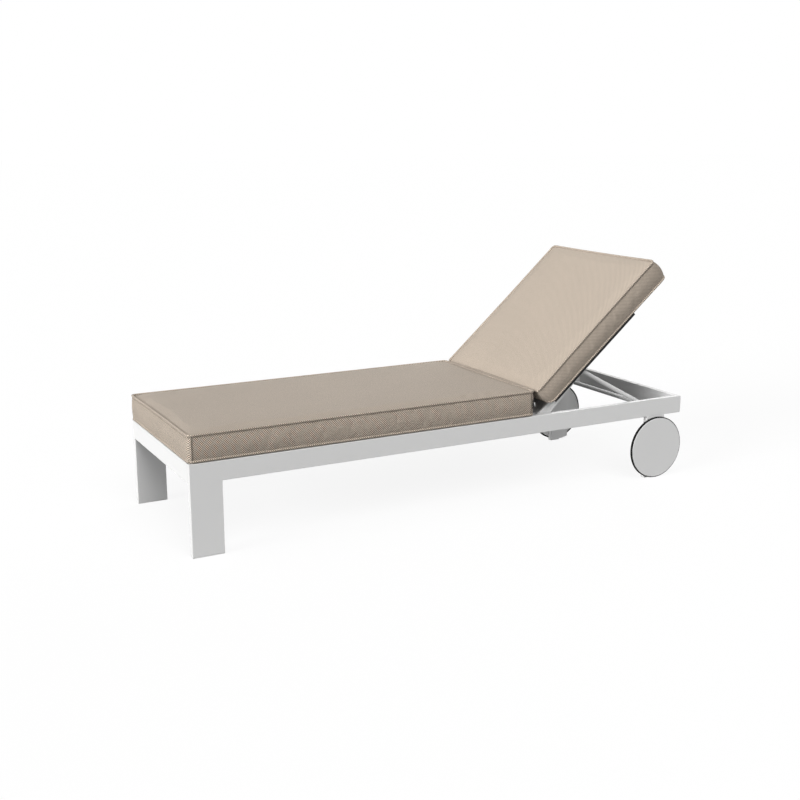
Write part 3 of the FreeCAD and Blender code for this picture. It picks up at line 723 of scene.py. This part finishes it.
def cover_tree(pad):
    """The cover's faces in its own frame, for finding the nearest point of the cloth."""
    points = [vert.co for vert in pad.data.vertices]
    return BVHTree.FromPolygons(points, [tuple(face.vertices) for face in pad.data.polygons])


def even_points(path, pitch):
    """Points at one distance from each other along a path, each with the path's direction there."""
    spots = []
    left = pitch / 2
    for start, end in zip(path, path[1:]):
        way = end - start
        while left < way.length:
            spots.append((start + way.normalized() * left, way.normalized()))
            left += pitch
        left -= way.length
    return spots


def spindle(middle, along, normal):
    """The points and faces of one stitch: six-sided, thick in the middle, its ends in the cloth."""
    across = normal.cross(along).normalized()
    points = []
    for share, size, rise in STITCH_RINGS:
        centre = middle + along * share * STITCH + normal * rise * THREAD
        for side in range(THREAD_SIDES):
            turn = 2 * math.pi * side / THREAD_SIDES
            points.append(centre + THREAD * size * (math.cos(turn) * across + math.sin(turn) * normal))
    last = len(points) - THREAD_SIDES
    faces = [tuple(reversed(range(THREAD_SIDES))), tuple(range(last, len(points)))]
    for here in range(0, last, THREAD_SIDES):
        after = here + THREAD_SIDES
        for side in range(THREAD_SIDES):
            beside = (side + 1) % THREAD_SIDES
            faces.append((here + side, here + beside, after + beside, after + side))
    return points, faces


print("A stitch every", STITCH_PITCH * 1000, "mm")

# %% Rows of stitches
SEAM_DROP = Vector((0, 0, 0.0068))
CORNER_GAP = 0.012
# Corners whose painted seam shade is deeper than this also get stitches
STITCHED_CORNER_SHADE = 0.5


def add_piece(name, points, faces, material, body, place):
    """A piece of the mattress that rides on the section's body."""
    mesh = bpy.data.meshes.new(name)
    mesh.from_pydata(points, [], faces)
    mesh.materials.append(material)
    piece = bpy.data.objects.new(name, mesh)
    scene.collection.objects.link(piece)
    piece.matrix_world = place
    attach(piece, body)
    return piece


def stitch(pad, tree, paths, body):
    """Rows of stitches along paths close to the cover, as one piece."""
    points = []
    faces = []
    for path in paths:
        for spot, way in even_points(path, STITCH_PITCH):
            middle, normal = tree.find_nearest(spot)[:2]
            along = (way - normal * way.dot(normal)).normalized()
            more_points, more_faces = spindle(middle, along, normal)
            faces += [tuple(corner + len(points) for corner in ring) for ring in more_faces]
            points += more_points
    piece = add_piece(pad.name + "_stitches", points, faces, THREAD_FINISH, body, pad.matrix_world)
    piece.data.shade_smooth()
    return len(points) // (THREAD_SIDES * len(STITCH_RINGS))


def corner_paths(section):
    """Upright lines on the side walls, beside the four corners."""
    paths = []
    for x, end in ((0.0, 1), (section.length, -1)):
        for y in (-section.width / 2, section.width / 2):
            top = section.height(x) - CORNER_GAP
            spot_x = x + end * CORNER_SEAM
            paths.append([Vector((section.lean(spot_x, share), y, CORNER_GAP + (top - CORNER_GAP) * share))
                          for share in (0.0, 0.5, 1.0)])
    return paths


for pad, section, loops, body in SECTIONS:
    upper = [pad.data.vertices[index].co - SEAM_DROP for index in loops[1]]
    paths = [[*upper, upper[0]]]
    if section.corner_seam_shade > STITCHED_CORNER_SHADE:
        paths += corner_paths(section)
    print(pad.name, "stitches:", stitch(pad, cover_tree(pad), paths, body))

# %% [markdown]
# ## The zip
#
# The cover comes off for washing, through a zip across the seat section's rear end. The photograph shows only its
# near end: a black edge beside the fold, with a small white pull. The tape is a strip laid along the cover, bent with
# it round both corners. The teeth are a row of small blocks, and the pull hangs from a slider at the near end.

# %% Shapes of the zip
TAPE_HALF = 0.017
TAPE_LIFT = 0.0006
TAPE_THICKNESS = 0.0006
TAPE_ROWS = (-1, -0.4, 0.4, 1)
ZIP_TURN = 0.016
TOOTH_PITCH = 0.005
TOOTH_LIFT = 0.0014
TOOTH = (0.003, 0.0062, 0.0016)
SLIDER = (0.011, 0.0085, 0.0038)
PULL = (0.0065, 0.014, 0.0018)
SLIDER_LIFT = 0.003
PULL_LIFT = 0.006
PULL_DROP = 0.004
PULL_RADIUS = 0.0008
PULL_TOOTH = 2
TAPE = hard_finish("black_zip_tape", (0.014, 0.014, 0.015), 0.85, 1400.0, 0.0003, patch=0.5)
seat_tree = cover_tree(seat_pad)
zip_height = seat_form.height(seat_form.length) / 2


def block(centre, axes, sizes):
    """The corners and faces of a small block along three axes."""
    points = []
    for x in (-0.5, 0.5):
        for y in (-0.5, 0.5):
            for z in (-0.5, 0.5):
                points.append(centre + axes[0] * x * sizes[0] + axes[1] * y * sizes[1] + axes[2] * z * sizes[2])
    return points, [(0, 1, 3, 2), (4, 6, 7, 5), (0, 4, 5, 1), (2, 3, 7, 6), (0, 2, 6, 4), (1, 5, 7, 3)]


def zip_path():
    """Points of the cover at the zip's height, from the near side round the rear end to the far side."""
    start = seat_form.length - ZIP_TURN
    spots = [seat_pad.data.vertices[index].co for index in seat_loops[0]]
    return [Vector((spot.x, spot.y, zip_height)) for spot in spots if spot.x > start]


print("Points along the zip:", len(zip_path()))


# %% Lay the zip across the rear end
def lay_zip():
    """The tape and its teeth, and each tooth's place and directions."""
    points = []
    faces = []
    teeth = []
    teeth_faces = []
    ends = []
    for spot, way in even_points(zip_path(), TOOTH_PITCH):
        middle, normal = seat_tree.find_nearest(spot)[:2]
        across = normal.cross(way).normalized()
        first = len(points)
        for side in TAPE_ROWS:
            edge, edge_normal = seat_tree.find_nearest(middle + across * side * TAPE_HALF)[:2]
            points.append(edge + edge_normal * TAPE_LIFT)
        if first:
            faces += [(first - 4 + row, first + row, first + row + 1, first - 3 + row) for row in range(3)]
        corners, sides = block(middle + normal * TOOTH_LIFT, (way, across, normal), TOOTH)
        teeth_faces += [tuple(corner + len(teeth) for corner in side) for side in sides]
        teeth += corners
        ends.append((middle, way, across, normal))
    tape = add_piece("zip_tape", points, faces, TAPE, "frame", seat_pad.matrix_world)
    tape.modifiers.new("thickness", "SOLIDIFY").thickness = TAPE_THICKNESS
    add_piece("zip_teeth", teeth, teeth_faces, FINISHES["dark_plastic"], "frame",
              seat_pad.matrix_world)
    return ends


def lay_pull(middle, way, across, normal):
    """A slider with a tab that hangs from it."""
    down = Vector((0, 0, -1))
    slider = block(middle + normal * SLIDER_LIFT, (way, across, normal), SLIDER)
    tab = block(middle + normal * PULL_LIFT + down * PULL_DROP, (way, down, normal), PULL)
    for name, (points, faces) in (("zip_slider", slider), ("zip_pull", tab)):
        piece = add_piece(name, points, faces, FINISHES["white_plastic"], "frame",
                          seat_pad.matrix_world)
        bevel = piece.modifiers.new("round", "BEVEL")
        bevel.width = PULL_RADIUS
        bevel.segments = 3


zip_spots = lay_zip()
lay_pull(*zip_spots[PULL_TOOTH])
print("Zip teeth:", len(zip_spots))

# %% [markdown]
# ## The strip under the fold
#
# The boards leave a gap where the back turns. The photograph shows a deep grey shade in it, and nothing of the floor
# or of the far rail. A strip of coated white mesh bridges it, so that the mattress can't drop into the hinge. It lies
# on the end of each board. The gap is widest when the back is flat, so the strip is cut for that, and it hangs slack
# while the back is up. A stiff strip would tear as the back turns, so this one is a thin sheet of cloth.

# %% The strip's line and mesh
STRIP_HALF = 0.262
STRIP_YARNS = ((0.60, 0.60, 0.605, 1.0), (0.78, 0.78, 0.785, 1.0))
STRIP_CLOTH = woven_cloth("white_strip_cloth", 0.0011, STRIP_YARNS, 0.9, 0.0)
STRIP_LAP = 0.302
SEAT_LIP = 0.3096
BACK_LIP = 0.0894
BACK_LAP = 0.098
STRIP_ON_SEAT = 0.3122
STRIP_ON_BACK = 0.0252
FROM_SEAT = Vector((0.03, 0.0, -0.04))
FROM_BACK = Vector((-0.03, 0.0, -0.04))
HANG_ROWS = 20
STRIP_COLUMNS = 16
WAVE = 0.0015
WAVES = 9
STRIP_THICKNESS = 0.0003


def on_back(x, z):
    """A point given along the back and away from it, in the lounger's frame."""
    return HINGE + BACK_TURN @ Vector((x, 0.0, z))


def hanging_line(front, rear):
    """Points of a slack curve from one board's end to the other's, down and away from both."""
    guides = (front, front + FROM_SEAT, rear + BACK_TURN @ FROM_BACK, rear)
    line = []
    for row in range(HANG_ROWS + 1):
        t = row / HANG_ROWS
        weights = ((1 - t) ** 3, 3 * t * (1 - t) ** 2, 3 * t * t * (1 - t), t ** 3)
        line.append(sum((guide * weight for guide, weight in zip(guides, weights)), Vector()))
    return line


def strip_mesh(line):
    """A grid across the bed that follows the line, with shallow waves where it hangs."""
    points = []
    for row, spot in enumerate(line):
        wave = WAVE * math.sin(math.pi * row / (len(line) - 1)) ** 2
        for column in range(STRIP_COLUMNS + 1):
            y = STRIP_HALF * (2 * column / STRIP_COLUMNS - 1)
            points.append(spot + Vector((0.0, y, -wave * math.cos(WAVES * y) ** 2)))
    faces = []
    for row in range(len(line) - 1):
        for column in range(STRIP_COLUMNS):
            first = row * (STRIP_COLUMNS + 1) + column
            faces.append((first, first + STRIP_COLUMNS + 1, first + STRIP_COLUMNS + 2, first + 1))
    mesh = bpy.data.meshes.new("fold_strip")
    mesh.from_pydata(points, [], faces)
    mesh.shade_smooth()
    mesh.materials.append(STRIP_CLOTH)
    return mesh


print("Strip grid:", HANG_ROWS, "by", STRIP_COLUMNS)

# %% Hang the strip
seat_lip = Vector((SEAT_LIP, 0.0, STRIP_ON_SEAT))
back_lip = on_back(BACK_LIP, STRIP_ON_BACK)
strip_line = [Vector((STRIP_LAP, 0.0, STRIP_ON_SEAT)), *hanging_line(seat_lip, back_lip)]
strip_line.append(on_back(BACK_LAP, STRIP_ON_BACK))
strip_length = sum((after - before).length for before, after in zip(strip_line, strip_line[1:]))
strip = bpy.data.objects.new("fold_strip", strip_mesh(strip_line))
scene.collection.objects.link(strip)
thickness = strip.modifiers.new("thickness", "SOLIDIFY")
thickness.thickness = STRIP_THICKNESS
thickness.offset = 0.0
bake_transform(strip)
print("Strip:", round(2 * STRIP_HALF, 3), "by", round(strip_length, 3), "m")

# %% [markdown]
# ## Stage, light and camera
#
# The photograph is a studio cut-out: white all round, with a broad, low key light from the foot end and a weaker,
# higher light on the near side, which the raised back keeps off the far wheel. Two wide suns give those. A weak rim
# light opens the sides that the photograph doesn't show, and an even world gives the rest. The floor and the world
# look white to the camera, and the floor still takes a faint shadow.

# %% Floor and world
FLOOR_HALF = 40
FLOOR_TONE = 0.15
FLOOR_GLOW = 1.02
GLOW_SHARE = 0.86
floor_mesh = bpy.data.meshes.new("floor")
floor_corners = [(x * FLOOR_HALF, y * FLOOR_HALF, 0) for x, y in ((-1, -1), (1, -1), (1, 1), (-1, 1))]
floor_mesh.from_pydata(floor_corners, [], [(0, 1, 2, 3)])
floor = bpy.data.objects.new("floor", floor_mesh)
scene.collection.objects.link(floor)


def looked_at(finish):
    """1 for what the camera sees, directly, in a reflection or through something clear, and 0 for light."""
    kinds = ("Camera", "Glossy", "Transmission")
    direct, glossy, through = [finish.node("ShaderNodeLightPath", out=f"Is {kind} Ray") for kind in kinds]
    return direct.math("MAXIMUM", glossy).math("MAXIMUM", through)


paper = Finish(bpy.data.materials.new("white_paper"))
seen = looked_at(paper)
tone = paper.mix(seen, (FLOOR_TONE, FLOOR_TONE, FLOOR_TONE, 1), (1, 1, 1, 1))
matt = paper.node("ShaderNodeBsdfDiffuse", None, {"Color": tone})
glow = paper.node("ShaderNodeEmission", None, {"Color": (1, 1, 1, 1), "Strength": FLOOR_GLOW})
both = paper.node("ShaderNodeMixShader", None, {0: seen * GLOW_SHARE, 1: matt, 2: glow})
paper.feed(paper.tree.nodes["Material Output"].inputs["Surface"], both)
floor_mesh.materials.append(paper.owner)

WORLD_LEVEL = 0.235
scene.world = bpy.data.worlds.new("studio")
sky = Finish(scene.world)
backdrop = sky.tree.nodes["Background"].inputs
backdrop["Color"].default_value = (1, 1, 1, 1)
sky.feed(backdrop["Strength"], WORLD_LEVEL + (1.0 - WORLD_LEVEL) * looked_at(sky))
print("World level on the object:", WORLD_LEVEL)


# %% Key, fill and rim
def sun(name, strength, spread_deg, heading):
    """A broad, even light along one heading."""
    light = bpy.data.lights.new(name, "SUN")
    light.energy = strength
    light.angle = math.radians(spread_deg)
    holder = bpy.data.objects.new(name, light)
    scene.collection.objects.link(holder)
    holder.rotation_mode = "QUATERNION"
    holder.rotation_quaternion = Vector(heading).to_track_quat("-Z", "Y")
    print(name, strength, "W per square metre")


sun("key", 3.05, 30, (0.95, 0.18, -0.23))
sun("fill", 1.54, 40, (0.10, 0.66, -0.75))
sun("rim", 0.95, 40, (-0.72, -0.60, -0.08))

# %% Camera
YAW = math.radians(61.789)
PITCH = math.radians(13.374)
camera = bpy.data.cameras.new("camera")
camera.sensor_width = 36.0
camera.lens = 51.39
camera.shift_x = 0.003
camera.shift_y = -0.0029
camera_object = bpy.data.objects.new("camera", camera)
scene.collection.objects.link(camera_object)
camera_object.location = (-2.04133, -3.63885, 1.34071)
ahead = Vector((math.cos(YAW) * math.cos(PITCH), math.sin(YAW) * math.cos(PITCH), -math.sin(PITCH)))
camera_object.rotation_mode = "QUATERNION"
camera_object.rotation_quaternion = ahead.to_track_quat("-Z", "Y")
scene.camera = camera_object
scene.view_settings.view_transform = "Standard"
print("Camera distance to the origin:", round(camera_object.location.length, 2), "m")
